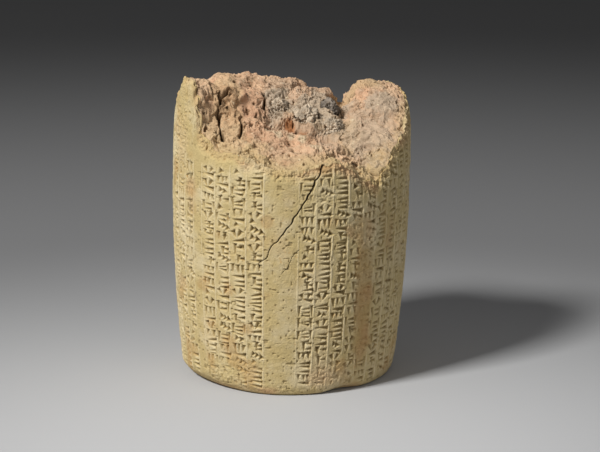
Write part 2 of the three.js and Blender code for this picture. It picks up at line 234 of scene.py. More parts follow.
# Marks on the break: how their edges are, and then the x, y, reach and strength of each
MARK_EDGE = 1.1
MARK_HARDNESS = 1.5
MARK_RAGGED = ((3.1, 0.35, 2), (1.1, 0.25, 3))
GREY_MARKS = [
    (-5, -8, 8, 1),
    (6, -9, 10, 1),
    (14, -2, 9, 0.9),
    (15, -12, 8, 0.7),
    (34, -2, 8, 0.8),
    (29, -14, 14, 0.6),
    (13, -26, 5, 0.4),
]
STAIN_MARKS = [
    (-0.6, -17, 2.6, 1),
    (3, -19.5, 3, 0.9),
    (-4, -20.5, 3, 0.6),
    (-16, -27, 3, 0.3),
    (8, -23, 3, 0.25),
]
RED_MARKS = [
    (-24, -17, 8, 0.8),
    (-15, -12, 9, 0.6),
    (-8, -24, 9, 0.35),
    (28, 4, 5, 0.4),
]
PALE_MARKS = [
    (-8, -22, 2, 0.8),
    (-5, -24.5, 2, 0.8),
    (0, -23.5, 2, 0.8),
    (4, -25.5, 2, 0.8),
    (9, -30, 3, 0.6),
]
# Fields of the slip: recess is painted shade in cuts and pits, edge is painted highlight on ridges
# together with the pale ruled lines, crack is painted shade in the crack
SLIP_FIELDS = ("recess_shade", "edge", "red", "stain", "crack")

WALL_ROWS = 5  # rows of points up a hidden wall
UNDER_BREAK = 1  # how far under the break a hidden wall's last row ends
MEETING_ROUNDS = 12


class CylinderSettings(bpy.types.PropertyGroup):
    """Sizes and colours that a user would change."""

    spacing: FloatProperty(
        name="Mesh Spacing",
        description="Distance between the points of the visible surfaces",
        default=0.00022,
        min=0.0001,
        max=0.001,
        precision=5,
        subtype="DISTANCE",
    )
    sign_depth: FloatProperty(
        name="Sign Depth",
        description="Deepest point of a pressed wedge",
        default=0.0015,
        min=0,
        max=0.0018,
        precision=5,
        subtype="DISTANCE",
    )
    wedge_width: FloatProperty(
        name="Wedge Width",
        description="Width of a wedge across its head",
        default=0.0028,
        min=0.0005,
        max=0.004,
        precision=5,
        subtype="DISTANCE",
    )
    crumble: FloatProperty(
        name="Crumble",
        description="Height of the small lumps of the break",
        default=0.0008,
        min=0,
        max=0.002,
        precision=5,
        subtype="DISTANCE",
    )
    seed: IntProperty(
        name="Seed",
        description="Start of the draw that sets out the signs",
        default=12,
        min=0,
    )
    slip_colour: FloatVectorProperty(
        name="Slip",
        description="Colour of the fine clay of the side",
        default=(0.54, 0.415, 0.19),
        size=3,
        min=0,
        max=1,
        subtype="COLOR",
    )
    clay_colour: FloatVectorProperty(
        name="Clay",
        description="Colour of the fired clay in the break",
        default=(0.6, 0.385, 0.235),
        size=3,
        min=0,
        max=1,
        subtype="COLOR",
    )
    stone_colour: FloatVectorProperty(
        name="Stone",
        description="Colour of the pale grey stones",
        default=(0.5, 0.405, 0.295),
        size=3,
        min=0,
        max=1,
        subtype="COLOR",
    )
    dark_stone_colour: FloatVectorProperty(
        name="Dark Stone",
        description="Colour of the stone at the foot of the notch",
        default=(0.24, 0.2, 0.16),
        size=3,
        min=0,
        max=1,
        subtype="COLOR",
    )
    floor_colour: FloatVectorProperty(
        name="Floor",
        description="Colour of the floor round the object",
        default=(0.5, 0.5, 0.5),
        size=3,
        min=0,
        max=1,
        subtype="COLOR",
    )
    distant_colour: FloatVectorProperty(
        name="Distance",
        description="Colour that the floor falls off to",
        default=(0.05, 0.05, 0.05),
        size=3,
        min=0,
        max=1,
        subtype="COLOR",
    )
    key_power: FloatProperty(
        name="Key Light",
        description="Power of the soft light on the left",
        default=50,
        min=0,
        unit="POWER",
    )
    fill_power: FloatProperty(
        name="Fill Light",
        description="Power of the soft light on the right",
        default=1.6,
        min=0,
        unit="POWER",
    )


def settings():
    return bpy.context.scene.clay_cylinder


# Shapes


def smooth(value):
    """Ease from 0 to 1."""
    value = np.clip(value, 0, 1)
    return value * value * (3 - 2 * value)


def bump(distance):
    """A bump of height 1 that falls to 0 at one reach from its middle."""
    distance = np.minimum(distance, 1)
    return (1 - distance * distance) ** 2


def turn_between(a, b):
    return np.mod(a - b + 180, 360) - 180


def around_circle(stations, azimuth):
    """Value at an azimuth, eased between the listed azimuths and closed round the circle."""
    closed = np.array([*stations, (stations[0][0] + 360, stations[0][1])], float)
    start = closed[0, 0]
    at = start + np.mod(azimuth - start, 360)
    after = np.clip(np.searchsorted(closed[:, 0], at, side="right"), 1, len(closed) - 1)
    before = after - 1
    share = (at - closed[before, 0]) / (closed[after, 0] - closed[before, 0])
    return closed[before, 1] + (closed[after, 1] - closed[before, 1]) * smooth(share)


def unevenness(x, y, z):
    """Smooth unevenness from -1 to 1, the same as in the part's source."""
    cells = [np.floor(value) for value in (x, y, z)]
    eases = [smooth(value - cell) for value, cell in zip((x, y, z), cells)]
    total = 0
    for corner in range(8):
        weight = 1
        lattice = []
        for axis in range(3):
            step = (corner >> axis) & 1
            weight = weight * (eases[axis] if step else 1 - eases[axis])
            lattice.append(cells[axis] + step)
        wave = np.sin(sum(place * factor for place, factor in zip(lattice, SCATTER))) * SCATTER_SCALE
        total = total + weight * (wave - np.floor(wave))
    return 2 * total - 1


def noise(points, spacing, shift=0):
    """Unevenness of points in millimetres, with lumps of one spacing; another shift, other lumps."""
    return unevenness(*(points[..., axis] / spacing + shift * (1.7 + axis) for axis in range(3)))


def mixed_noise(points, parts):
    """Sum of noises, each given by its spacing, height and shift."""
    return sum(height * noise(points, spacing, shift) for spacing, height, shift in parts)


def spots(points, spacing, shift, begin, softness):
    """Soft-edged spots, where the noise passes the value at which they begin."""
    return smooth((noise(points, spacing, shift) - begin) / softness)


def stray(points, spacing, reach, shifts):
    """How far points stray in each of some directions, one for each shift."""
    return reach * np.stack([noise(points, spacing, shift) for shift in shifts], axis=-1)


def share_out(x, y, place):
    """Share of the way out from a place, which is given by its middle and its two reaches."""
    mid_x, mid_y, reach_x, reach_y = place
    return np.hypot((x - mid_x) / reach_x, (y - mid_y) / reach_y)


def barrel_radius(z):
    share = (BELLY_HEIGHT - z) / BELLY_HEIGHT
    return BELLY_RADIUS - (BELLY_RADIUS - END_RADIUS) * share * share


def edge_rounding(azimuth):
    total = EDGE_ROUND
    for middle, half_width, extra in (EDGE_WEAR, EDGE_CHIP):
        total = total + extra * bump(np.abs(turn_between(azimuth, middle)) / half_width)
    return total


def axis_shift(z):
    return LEAN * (z - BELLY_HEIGHT)


def point_round(x, y, radius, azimuth, z):
    angle = np.radians(azimuth)
    parts = (x + radius * np.sin(angle), y - radius * np.cos(angle), z)
    return np.stack(np.broadcast_arrays(*parts), axis=-1).astype(float)


def barrel_surface(depth):
    """Upright surface a given depth inside the skin, rounded at its lower edge."""

    def surface(azimuth, z):
        arc = edge_rounding(azimuth)
        below = np.clip(arc - z, 0, arc)
        drawn_in = arc - np.sqrt(np.maximum(arc * arc - below * below, 0))
        return point_round(axis_shift(z), 0, barrel_radius(z) - depth - drawn_in, azimuth, z)

    return surface


def inner_layer_radius(z):
    return barrel_radius(z) - SLIP - OUTER_LAYER


def inner_layer_surface(azimuth, z):
    return point_round(axis_shift(z), 0, inner_layer_radius(z), azimuth, z)


def core_centre(z):
    share = z / BREAK_HEIGHT
    return tuple(low + (high - low) * share for low, high in zip(CORE_FOOT[:2], CORE_TIP[:2]))


def core_surface(azimuth, z):
    foot = inner_layer_radius(0) - CORE_FOOT[2]
    tip = inner_layer_radius(BREAK_HEIGHT) - CORE_TIP[2]
    x, y = core_centre(z)
    return point_round(x, y, foot + (tip - foot) * z / BREAK_HEIGHT, azimuth, z)


def break_height(x, y):
    """Height of the break over a place, from its centre, midway and rim, as in the part's source."""
    outward = np.hypot(x, y) / BELLY_RADIUS
    azimuth = np.degrees(np.arctan2(x, -y))
    centre = CENTRE_DROP * (1 - outward) * (1 - 2 * outward)
    midway = around_circle(MIDWAY_DROP, azimuth) * 4 * outward * (1 - outward)
    rim = around_circle(RIM_DROP, azimuth) * outward * (2 * outward - 1)
    height = BREAK_HEIGHT - centre - midway - rim
    for *place, rise in BREAK_FEATURES:
        height = height + rise * bump(share_out(x, y, place) / FEATURE_REACH)
    x, y = x / ROUGH_SPACING, y / ROUGH_SPACING
    half = np.full_like(x, 0.5)
    coarse = unevenness(x, y, half)
    fine = unevenness(x * FINER, y * FINER, half + 4)
    return height + ROUGHNESS * (coarse + 0.5 * fine)


def height_over(x, y):
    """Height of the break over one place."""
    return float(break_height(np.array([x], float), np.array([y], float))[0])


def meet_break(surface, azimuth):
    """Points where an upright surface meets the break."""
    z = np.full_like(azimuth, float(BREAK_HEIGHT))
    for _ in range(MEETING_ROUNDS):
        points = surface(azimuth, z)
        z = break_height(points[..., 0], points[..., 1])
    return surface(azimuth, z)


def course_distance(points, course, width):
    """Distance from points of a plane to a course, in half widths, and share of the way along it."""
    best = np.full(points.shape[:-1], np.inf)
    along = np.zeros_like(best)
    legs = list(zip(course[:-1], course[1:]))
    for index, (start, end) in enumerate(legs):
        start, leg = np.array(start, float), np.subtract(end, start).astype(float)
        share = np.clip(((points - start) @ leg) / (leg @ leg), 0, 1)
        gap = np.linalg.norm(points - start - share[..., None] * leg, axis=-1)
        nearer = gap < best
        best = np.where(nearer, gap, best)
        along = np.where(nearer, (index + share) / len(legs), along)
    return best / (width / 2), along


def stone_places():
    """Name, slot, middle, half sizes and seed of each stone of the break."""
    for name, slot, (x, y), half, sunk, seed in BREAK_STONES:
        x, y = CORE_TIP[0] + x, CORE_TIP[1] + y
        yield name, slot, np.array([x, y, height_over(x, y) - sunk]), np.array(half), seed


def marks_at(points, marks):
    """Strength of a set of marks, with ragged edges."""
    ragged = mixed_noise(points, MARK_RAGGED)
    total = np.zeros(points.shape[:-1])
    for x, y, reach, strength in marks:
        gap = share_out(points[..., 0], points[..., 1], (x, y, reach, reach))
        edge = MARK_HARDNESS * (MARK_EDGE - gap + ragged)
        total = np.maximum(total, strength * smooth(edge))
    return total


def crumbs(points):
    """Angular small lumps of broken clay, from folded noise of several sizes."""
    total = 0
    for size, height, shift in CRUMBS:
        total = total + height * (1 - CRUMB_FOLD * np.abs(noise(points, size, shift)))
    return total


def break_normal(x, y):
    """Direction that the plain break faces."""
    span = 2 * SLOPE_STEP
    slope_x = (break_height(x + SLOPE_STEP, y) - break_height(x - SLOPE_STEP, y)) / span
    slope_y = (break_height(x, y + SLOPE_STEP) - break_height(x, y - SLOPE_STEP)) / span
    normal = np.stack([-slope_x, -slope_y, np.ones_like(x)], axis=-1)
    return normal / np.linalg.norm(normal, axis=-1, keepdims=True)


def crumbled(base):
    """Points of the break with lumps, chinks, pores and hollows, and the painted shade that lies in
    them.
    """
    x, y = base[..., 0], base[..., 1]
    normal = break_normal(x, y)
    calm = 1 - CALM_SHARE * bump(share_out(x, y, CALM_FACE))
    rough = CRUMBS_EVERYWHERE + CRUMBS_IN_PLACES * spots(base, *ROUGH_PLACES)
    small = crumbs(base)
    lumps = mixed_noise(base, LUMPS) + rough * small
    spacing, shift, half_width = CHINK_LINES
    line = smooth(1 - np.abs(noise(base, spacing, shift)) / half_width)
    chinks = -CHINK_DEPTH * line * spots(base, *CHINK_PLACES)
    pores = -PORE_DEPTH * spots(base, *PORES)
    rise = settings().crumble / MM * calm * (lumps + chinks + pores)
    points = base + normal * rise[..., None]
    for *place, deeper in DEEP_HOLLOWS:
        points[..., 2] += deeper * bump(share_out(x, y, place) / HOLLOW_REACH)
    steep = smooth((1 - normal[..., 2:]) / STEEP)
    stirred = sum(stray(base, spacing, reach, STIRRED_WAYS) for spacing, reach in STIRRED)
    points += (STIRRED_LEVEL + STIRRED_STEEP * steep) * stirred
    # The second value is painted shade where the chinks, pores and low crumbs lie, less on the calm face
    return points, smooth(-(chinks + pores + CRUMB_SHADE * small) / SHADE_DEPTH) * calm


def open_fissures(base, points, painted_shade):
    """Points of the break drawn down into its fissures, and the painted shade with that of the fissures
    added.
    """
    strayed = base[..., :2] + stray(base, *FISSURE_STRAY)
    for width, depth, course in FISSURES:
        gap, along = course_distance(strayed, course, width)
        open_here = smooth(FISSURE_EDGE - gap) * (1 - FISSURE_CLOSING * along)
        points = points + FISSURE_SLANT * (depth * open_here)[..., None]
        painted_shade = np.maximum(painted_shade, smooth(FISSURE_SHADE - gap))
    return points, painted_shade


def seat_stones(base, points, painted_shade):
    """Points of the break lowered to a socket under each stone, and the painted shade round the stones.
    """
    points = points.copy()
    for _, _, middle, half, _ in stone_places():
        socket = half * SOCKET_SWELL + SOCKET_GAP
        out = np.linalg.norm((points - middle) / socket, axis=-1)
        aside = share_out(base[..., 0], base[..., 1], (*middle[:2], *socket[:2]))
        bottom = middle[2] - socket[2] * np.sqrt(np.maximum(1 - aside * aside, 0))
        points[..., 2] = np.where(out < 1, bottom, points[..., 2])
        around = smooth(1 - np.abs(out - 1) / SOCKET_SHADE_REACH)
        painted_shade = np.maximum(painted_shade, SOCKET_SHADE * around)
    return points, painted_shade


def cream_edge(base):
    """Where the clay of the break in front is as cream as the slip."""
    middle, half_width, fade = CREAM_EDGE
    azimuth = np.degrees(np.arctan2(base[..., 0], -base[..., 1]))
    outward = np.hypot(base[..., 0], base[..., 1]) / BELLY_RADIUS
    front = smooth((half_width - np.abs(azimuth - middle)) / fade)
    past_start = outward - CREAM_START + mixed_noise(base, CREAM_RAGGED)
    return front * smooth(past_start / CREAM_SOFTNESS)


def broken_surface(base):
    """Crumbled points of the break over base points on its plain height, and their fields."""
    points, painted_shade = crumbled(base)
    points, painted_shade = open_fissures(base, points, painted_shade)
    points, painted_shade = seat_stones(base, points, painted_shade)
    points[..., 2] = np.minimum(points[..., 2], CAD_BOX[1][2] / MM)
    fields = {
        # recess is the painted shade of the break's low places, fissures and the gaps round its stones
        "recess_shade": painted_shade,
        "cream": np.maximum(cream_edge(base), 0.5 * spots(base, *CREAM_PLACES)),
        "grey": marks_at(base, GREY_MARKS),
        "stain": marks_at(base, STAIN_MARKS),
        "red": marks_at(base, RED_MARKS),
        "pale": marks_at(base, PALE_MARKS),
    }
    return points, fields


# Signs


class SignMap:
    """Depths pressed into the side, on a grid of azimuth columns and height rows."""

    ROW = 0.2
    HEIGHT = 120
    ARC_RADIUS = 44  # radius at which millimetres round the side are counted
    HEAD_SLOPE = 1.5
    HEAD_LENGTH = 1.5  # in half widths
    TAIL_WIDTH = 0.66
    RULE_HALF = 0.26
    RULE_STEP = 1.0
    RULE_REACH = 0.8
    RIDGE_CELLS = 4

    def __init__(self, columns):
        self.columns = columns
        self.rows = int(self.HEIGHT / self.ROW)
        self.depth = np.zeros((columns, self.rows))
        self.lines = np.zeros((columns, self.rows))
        self.arc_step = 2 * math.pi * self.ARC_RADIUS / columns
        self.degree = math.radians(1) * self.ARC_RADIUS

    def window(self, arc, z, reach):
        """Grid indices and places within reach of a place."""
        first = int((arc - reach) / self.arc_step)
        wide = int(2 * reach / self.arc_step) + 2
        low = max(0, int((z - reach) / self.ROW))
        high = min(self.rows, int((z + reach) / self.ROW) + 2)
        columns = np.arange(first, first + wide)
        rows = np.arange(low, high)
        picked = np.ix_(columns % self.columns, rows)
        return picked, (columns * self.arc_step)[:, None] - arc, (rows * self.ROW)[None, :] - z

    def press(self, arc, z, turn, length, half):
        """A wedge with its head at a place and its tail along a turn, deepest in its head."""
        picked, across, up = self.window(arc, z, length + half)
        way = (math.cos(turn), math.sin(turn))
        along = across * way[0] + up * way[1]
        aside = np.abs(up * way[0] - across * way[1])
        head = half * (1 - along / (self.HEAD_LENGTH * half))
        tail = self.TAIL_WIDTH * half * (1 - np.maximum(along / length, 0) ** 2)
        pit = np.minimum(self.HEAD_SLOPE * along, np.maximum(head, tail) - aside)
        self.depth[picked] = np.maximum(self.depth[picked], np.maximum(pit, 0))

    def rule(self, azimuth, foot, top):
        """A fine pale line up the side."""
        for z in np.arange(foot, top, self.RULE_STEP):
            picked, across, _ = self.window(azimuth * self.degree, z, self.RULE_REACH)
            line = smooth(1.3 - np.abs(across) / self.RULE_HALF)
            self.lines[picked] = np.maximum(self.lines[picked], line)

    def ridges(self):
        """How far each cell stands above the mean of those round it."""
        near = self.depth
        steps = range(-self.RIDGE_CELLS, self.RIDGE_CELLS + 1)
        for axis in (0, 1, 0, 1):
            near = sum(np.roll(near, step, axis) for step in steps) / len(steps)
        return near - self.depth

    def sample(self, grid, heights):
        """Values of a grid at one height for each column and row of a mesh."""
        place = np.clip(heights / self.ROW, 0, self.rows - 1.001)
        low = place.astype(int)
        share = place - low
        column = np.arange(self.columns)[:, None]
        return grid[column, low] * (1 - share) + grid[column, low + 1] * share


# The made-up signs. Each function gives the width of a sign and its wedges, as place along the line,
# place up across it, turn, length and half width, in millimetres and radians.

LEVEL, UPRIGHT = 0, -math.pi / 2
BESIDE = 1.25  # from one upright wedge to the next, in half widths


def level_wedges(draw, band, half):
    """Level wedges one above another, often closed by an upright one."""
    count = int(draw.integers(2, 4))
    width = draw.uniform(2.4, 4)
    wedges = []
    for index in range(count):
        up = band * (index + 0.5) / count
        wedges.append((0, up, LEVEL, width * draw.uniform(0.8, 1.1), half * 0.85))
    if draw.random() < 0.6:
        wedges.append((width + half * 0.6, band, UPRIGHT, band * 0.95, half))
        width += BESIDE * half
    return width, wedges


def upright_wedges(draw, band, half):
    """Upright wedges side by side."""
    count = int(draw.integers(1, 4))
    wedges = []
    for index in range(count):
        length = band * draw.uniform(0.75, 1)
        wedges.append((half * (0.7 + index * BESIDE), band, UPRIGHT, length, half * 0.9))
    return count * BESIDE * half, wedges


def crossed_wedges(draw, band, half):
    """One level wedge crossed by shorter upright ones."""
    width = draw.uniform(3.2, 4.6)
    wedges = [(0, band * draw.uniform(0.3, 0.7), LEVEL, width, half * 0.9)]
    for index in range(int(draw.integers(1, 4))):
        length = band * draw.uniform(0.45, 0.9)
        wedges.append((half * (1 + index * BESIDE), band, UPRIGHT, length, half * 0.8))
    return width, wedges


def slanting_wedges(draw, band, half):
    """Short slanting wedges in a stair."""
    count = int(draw.integers(1, 4))
    wedges = []
    for index in range(count):
        up = band * (0.3 + 0.28 * index) + half * 0.7
        wedges.append((0.2 + 0.6 * index, up, -0.75, 2.2, half * 1.1))
    return 2.4 + 0.3 * count, wedges


def framed_wedges(draw, band, half):
    """Upright wedges between two level ones."""
    width = draw.uniform(3.6, 5)
    wedges = [(0, band * up, LEVEL, width, half * 0.7) for up in (0.1, 0.92)]
    for index in range(int(draw.integers(2, 4))):
        along = half * (1 + index * BESIDE * 0.9)
        wedges.append((along, band * 0.85, UPRIGHT, band * 0.7, half * 0.7))
    return width, wedges


def meeting_wedges(draw, band, half):
    """Two slanting wedges that meet, often closed by an upright one."""
    width = draw.uniform(2.6, 3.6)
    wedges = [
        (0, band * 0.8, -0.5, width, half * 0.95),
        (0.2, band * 0.2, 0.5, width, half * 0.95),
    ]
    if draw.random() < 0.5:
        wedges.append((width + 0.3, band, UPRIGHT, band * 0.9, half))
        width += BESIDE * half
    return width, wedges


SIGN_KINDS = (
    level_wedges,
    upright_wedges,
    crossed_wedges,
    slanting_wedges,
    framed_wedges,
    meeting_wedges,
)


def line_edges():
    """Left and right azimuths of each line of signs."""
    left = np.linspace(PLAIN_BAND[1], BLANK_STRIP[0], LEFT_LINES + 1)
    right = np.linspace(BLANK_STRIP[1], PLAIN_BAND[0] + 360, RIGHT_LINES + 1)
    for edges in (left, right):
        yield from zip(edges[:-1], edges[1:])


def pressed_signs(columns):
    """The map of all ruled lines and signs."""
    signs = SignMap(columns)
    draw = np.random.default_rng(settings().seed)
    half = settings().wedge_width / MM / 2
    for left, right in line_edges():
        for azimuth in (left, right):
            signs.rule(azimuth, RULE_FOOT, float(around_circle(SIGN_TOP, azimuth)) + RULE_RISE)
        top = float(around_circle(SIGN_TOP, (left + right) / 2)) + SIGN_RISE
        band = (right - left) * signs.degree - 2 * LINE_MARGIN
        at = draw.uniform(0, 1)
        while at < top - SIGN_FOOT:
            make_sign = SIGN_KINDS[draw.integers(len(SIGN_KINDS))]
            width, wedges = make_sign(draw, band, half)
            for along, up, turn, length, size in wedges:
                arc = left * signs.degree + LINE_MARGIN + up + draw.normal(0, PLACE_JITTER)
                z = top - at - along + draw.normal(0, PLACE_JITTER)
                down_turn = turn - math.pi / 2 + draw.normal(0, TURN_JITTER)
                signs.press(arc, z, down_turn, length, size * draw.uniform(*SIZE_JITTER))
            at += width + draw.uniform(*SIGN_GAP)
    signs.depth *= settings().sign_depth / MM / max(signs.depth.max(), 1e-6)
    return signs


# Meshes


def section_mesh(name, sections, fields, shown, poles=False):
    """Mesh of sections round the object, each with as many points.

    Closed sections run round a layer. With poles, each section begins and ends on the middle line.
    Only the faces of the shown rows are shaded smooth."""
    columns, rows = sections.shape[:2]
    column = np.arange(columns)[:, None]
    after = (column + 1) % columns
    if poles:
        inner = rows - 2
        row = np.arange(inner - 1)[None, :]
        points = np.concatenate([sections[:, 1:-1].reshape(-1, 3), sections[0, [0, -1]]])
        stride, first_row = inner, 1
        flat = {
            key: np.concatenate([value[:, 1:-1].ravel(), value[0, [0, -1]]])
            for key, value in fields.items()
        }
    else:
        row = np.arange(rows)[None, :]
        points = sections.reshape(-1, 3)
        stride, first_row = rows, 0
        flat = {key: value.ravel() for key, value in fields.items()}
    above = (row + 1) % stride
    corners = (column, row), (after, row), (after, above), (column, above)
    quads = np.stack([c * stride + r for c, r in corners], axis=-1).reshape(-1, 4)
    face_row = np.broadcast_to(row + first_row, (columns, row.shape[1])).ravel()
    face_column = np.broadcast_to(column, (columns, row.shape[1])).ravel()
    corner_u = np.stack([face_column, face_column + 1, face_column + 1, face_column], -1) / columns
    corner_v = np.stack([face_row, face_row, face_row + 1, face_row + 1], -1) / rows
    loops, starts = [quads.ravel()], [np.arange(len(quads)) * 4]
    uvs = [np.stack([corner_u, corner_v], -1).reshape(-1, 2)]
    smooth_faces = [np.isin(face_row, shown)]
    if poles:
        side = np.arange(columns)
        low_pole, high_pole = len(points) - 2, len(points) - 1
        for pole, pole_row, ring_row, one, two in (
            (low_pole, 0, 1, side, side + 1),
            (high_pole, rows - 1, rows - 2, side + 1, side),
        ):
            ring = [turn % columns * stride + ring_row - first_row for turn in (two, one)]
            turns = np.stack([side + 0.5, two, one], -1) / columns
            places = np.broadcast_to(np.array([pole_row, ring_row, ring_row]) / rows, turns.shape)
            starts.append(sum(len(part) for part in loops) + side * 3)
            loops.append(np.stack([np.full(columns, pole), *ring], -1).ravel())
            uvs.append(np.stack([turns, places], -1).reshape(-1, 2))
            smooth_faces.append(np.full(columns, pole_row in shown))
    return numbers_to_mesh(name, points, loops, starts, uvs, smooth_faces, flat)


def numbers_to_mesh(name, points, loops, starts, uvs, smooth_faces, fields):
    """Object with a mesh made from lists of numbers, and its fields as attributes of the points."""
    mesh = bpy.data.meshes.new(name)
    loops, starts = np.concatenate(loops), np.concatenate(starts)
    mesh.vertices.add(len(points))
    mesh.vertices.foreach_set("co", (points * MM).astype(np.float32).ravel())
    mesh.loops.add(len(loops))
    mesh.loops.foreach_set("vertex_index", loops.astype(np.int32))
    mesh.polygons.add(len(starts))
    mesh.polygons.foreach_set("loop_start", starts.astype(np.int32))
    mesh.polygons.foreach_set("use_smooth", np.concatenate(smooth_faces))
    layer = mesh.uv_layers.new(name="OFBake")
    layer.uv.foreach_set("vector", np.concatenate(uvs).astype(np.float32).ravel())
    for key, values in fields.items():
        attribute = mesh.attributes.new(key, "FLOAT", "POINT")
        attribute.data.foreach_set("value", values.astype(np.float32))
    mesh.update(calc_edges=True)
    mesh.validate()
    piece = bpy.data.objects.new(name, mesh)
    bpy.context.scene.collection.objects.link(piece)
    return piece


def place_piece(piece, node, material):
    piece.data.materials.append(material)
    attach(piece, BODY)
    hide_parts(node)


def column_azimuths():
    """Azimuths of the columns that all layers share, so their breaks meet without a gap."""
    columns = round(2 * math.pi * BELLY_RADIUS / (settings().spacing / MM))
    return np.arange(columns) * 360 / columns


def rows_between(low, high, count):
    """Heights in even rows from a low row up to a high one, which is left out."""
    share = np.arange(count)[None, :] / count
    return low[:, None] + (high - low)[:, None] * share


def upright(surface, azimuth, heights):
    return surface(np.broadcast_to(azimuth[:, None], heights.shape), heights)


def across_break(outer, inner, steps):
    """Base points of the break from an outer row of points to an inner one, both included."""
    share = np.linspace(0, 1, steps + 1)[None, :, None]
    base = outer[:, None] + (inner - outer)[:, None] * share
    base[:, 1:-1, 2] = break_height(base[:, 1:-1, 0], base[:, 1:-1, 1])
    return base


def clay_layer(name, outer, inner, width):
    """A layer of clay between two upright surfaces, dense on its break and plain on its walls."""
    azimuth = column_azimuths()
    steps = max(8, round(width / (settings().spacing / MM)))
    base = across_break(meet_break(outer, azimuth), meet_break(inner, azimuth), steps)
    points, fields = broken_surface(base)
    foot = np.full_like(azimuth, CLAY_FOOT)
    outside = upright(outer, azimuth, rows_between(foot, points[:, 0, 2] - UNDER_BREAK, WALL_ROWS))
    inside = upright(inner, azimuth, rows_between(foot, points[:, -1, 2] - UNDER_BREAK, WALL_ROWS))
    sections = np.concatenate([outside, points, inside[:, ::-1]], axis=1)
    wall = np.zeros((len(azimuth), WALL_ROWS))
    fields = {key: np.concatenate([wall, value, wall], axis=1) for key, value in fields.items()}
    return section_mesh(name, sections, fields, np.arange(WALL_ROWS, WALL_ROWS + steps))


# Materials


class Value:
    """A shader socket that can be used in arithmetic."""

    def __init__(self, shader, socket):
        self.shader = shader
        self.socket = socket

    def math(self, operation, *others):
        inputs = dict(enumerate((self, *others)))
        return self.shader.node("ShaderNodeMath", {"operation": operation}, inputs)

    def __add__(self, other):
        return self.math("ADD", other)

    def __mul__(self, other):
        return self.math("MULTIPLY", other)

    __radd__ = __add__
    __rmul__ = __mul__


class Shader:
    """A material with one Principled surface."""

    def __init__(self, name):
        self.material = bpy.data.materials.new(name)
        self.material.use_nodes = True
        self.tree = self.material.node_tree
        self.tree.nodes.clear()
        self.place = self.node("ShaderNodeTexCoord", output="Object")

    def node(self, kind, set_first=None, inputs=None, output=0):
        """A node with its settings, its sockets' values or links, and one output as a Value."""
        made = self.tree.nodes.new(kind)
        for key, value in (set_first or {}).items():
            setattr(made, key, value)
        for key, value in (inputs or {}).items():
            if isinstance(value, Value):
                self.tree.links.new(value.socket, made.inputs[key])
            else:
                made.inputs[key].default_value = value
        return Value(self, made.outputs[output]) if made.outputs else None

    def field(self, name):
        """A field of the mesh's points."""
        return self.node("ShaderNodeAttribute", {"attribute_name": name}, output="Fac")

    def noise(self, size, detail=4, roughness=0.6):
        """Noise with lumps of one size in metres."""
        inputs = {"Vector": self.place, "Scale": 1 / size, "Detail": detail, "Roughness": roughness}
        return self.node("ShaderNodeTexNoise", {}, inputs)

    def step(self, value, low, high):
        """Share of the way that a value has gone from low to high."""
        inputs = {"Value": value, "From Min": low, "From Max": high}
        return self.node("ShaderNodeMapRange", {"interpolation_type": "SMOOTHSTEP"}, inputs)

    def patches(self, size, low, high, detail=4):
        """Soft-edged patches of one size, where the noise passes from low to high."""
        return self.step(self.noise(size, detail), low, high)

    def mix(self, share, under, over):
        """One colour over another. The mixer's sockets 6, 7 and 2 are its colours."""
        under, over = (value if isinstance(value, Value) else (*value, 1) for value in (under, over))
        return self.node("ShaderNodeMix", {"data_type": "RGBA"}, {0: share, 6: under, 7: over}, 2)

    def finish(self, colour, roughness, height, distance, specular=0.25):
        """The finished material, with a bump of a height and distance."""
        normal = self.node("ShaderNodeBump", {}, {"Height": height, "Distance": distance})
        inputs = {
            "Base Color": colour,
            "Roughness": roughness,
            "Normal": normal,
            "Specular IOR Level": specular,
        }
        surface = self.node("ShaderNodeBsdfPrincipled", {}, inputs)
        self.node("ShaderNodeOutputMaterial", {}, {"Surface": surface})
        return self.material


def shade(colour, factor):
    return tuple(channel * factor for channel in colour)


def toward(colour, other, share):
    return tuple(a + (b - a) * share for a, b in zip(colour, other))


BROWN = (0.2, 0.12, 0.055)
OCHRE = (0.55, 0.3, 0.09)
CREAM = (0.7, 0.6, 0.4)
RUST = (0.42, 0.16, 0.05)
CLAY_RED = (0.56, 0.29, 0.17)


def slip_material(name):
    """Fine cream clay with painted shade in its cuts and pits and painted highlight on the ridges beside
    them, ochre stains and small dark grit.
    """
    colour = tuple(settings().slip_colour)
    shader = Shader(name)
    surface = shader.mix(shader.patches(0.014, 0.42, 0.66), colour, toward(colour, CREAM, 0.5))
    ochre = shader.patches(0.03, 0.5, 0.72, 6)
    surface = shader.mix(ochre * 0.5, surface, toward(colour, OCHRE, 0.4))
    # Painted highlight on the ridges beside the cuts, with the pale ruled lines
    surface = shader.mix(shader.field("edge") * 0.75, surface, shade(toward(colour, CREAM, 0.7), 1.2))
    # Painted shade in the cuts and pits
    painted_shade = toward(shade(colour, 0.42), OCHRE, 0.12)
    surface = shader.mix(shader.field("recess_shade") * 0.85, surface, painted_shade)
    surface = shader.mix(shader.field("red") * 0.75, surface, toward(colour, CLAY_RED, 0.65))
    surface = shader.mix(shader.field("stain") * 0.5, surface, shade(OCHRE, 0.8))
    surface = shader.mix(shader.patches(0.0011, 0.68, 0.74, 2) * 0.7, surface, BROWN)
    surface = shader.mix(shader.patches(0.0023, 0.69, 0.76, 2) * 0.5, surface, OCHRE)
    # Painted shade in the crack and its hairline branch
    surface = shader.mix(shader.field("crack"), surface, shade(BROWN, 0.25))
    roughness = 0.78 + shader.noise(0.004) * 0.2
    height = shader.noise(0.0007, 6, 0.75)
    return shader.finish(surface, roughness, height, 0.0004)


